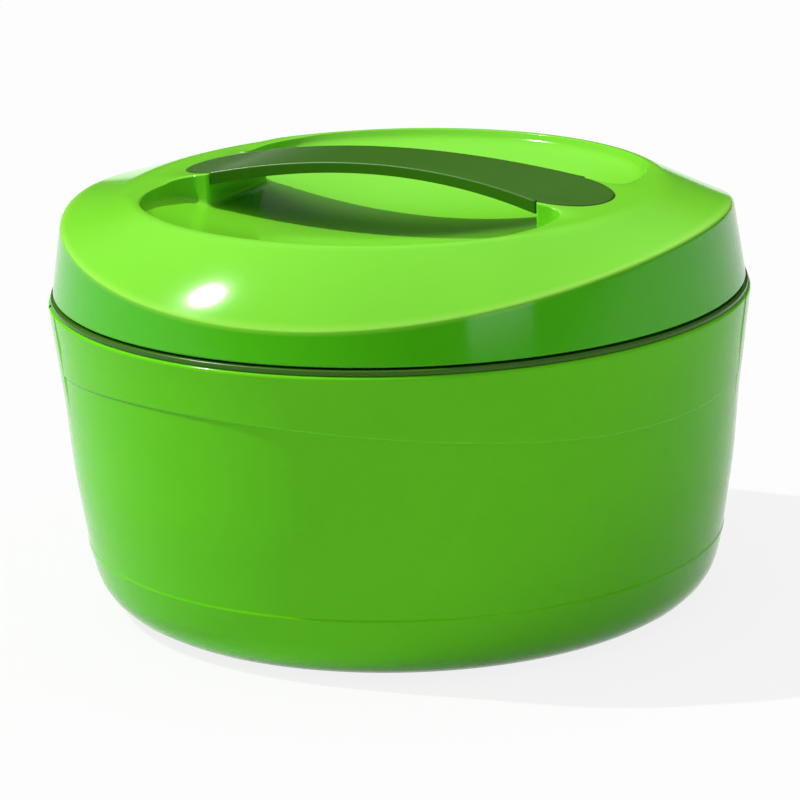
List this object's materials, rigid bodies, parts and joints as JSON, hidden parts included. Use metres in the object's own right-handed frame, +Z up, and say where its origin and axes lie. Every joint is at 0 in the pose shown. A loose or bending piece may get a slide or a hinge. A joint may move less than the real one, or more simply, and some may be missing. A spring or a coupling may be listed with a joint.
{
  "type": "insulated food container",
  "caption": "Round insulated food container: tapered tub with a dark rim ring, steel bowl and a lift-off, twist-locking lid with a shallow dish under an arched carrying handle.",
  "frame": {"origin": "centre of the foot, on the table", "axes": "+Z up, +X along the lid's handle as the lid stands at rest, +Y across it"},
  "size_m": [0.2612, 0.2612, 0.1659],
  "materials": {
    "tub_green": "gloss",
    "lid_green": "gloss",
    "olive": "satin",
    "bowl_steel": "satin",
    "liner_green": "gloss",
    "foam": "matte",
    "silicone": "matte",
    "screw_steel": "satin"
  },
  "bodies": {
    "container": {"outer_shell": "tub_green", "base_fill_plug": "tub_green", "rim_ring": "olive", "inner_bowl": "bowl_steel", "body_insulation": "foam"},
    "seal": {"lid_gasket": "silicone"},
    "lid": {"lid_shell": "lid_green", "lid_liner": "liner_green", "lid_insulation": "foam", "handle": "olive", "handle_screws": "screw_steel"}
  },
  "joints": [
    {"name": "lid_lift", "type": "slide", "parent": "container", "child": "seal", "axis": [0, 0, 1], "range_m": [0, 0.12]},
    {"name": "lid_turn", "type": "hinge", "parent": "seal", "child": "lid", "pos_m": [0, 0, 0.117], "axis": [0, 0, 1], "range_deg": [0, 20.8]}
  ]
}
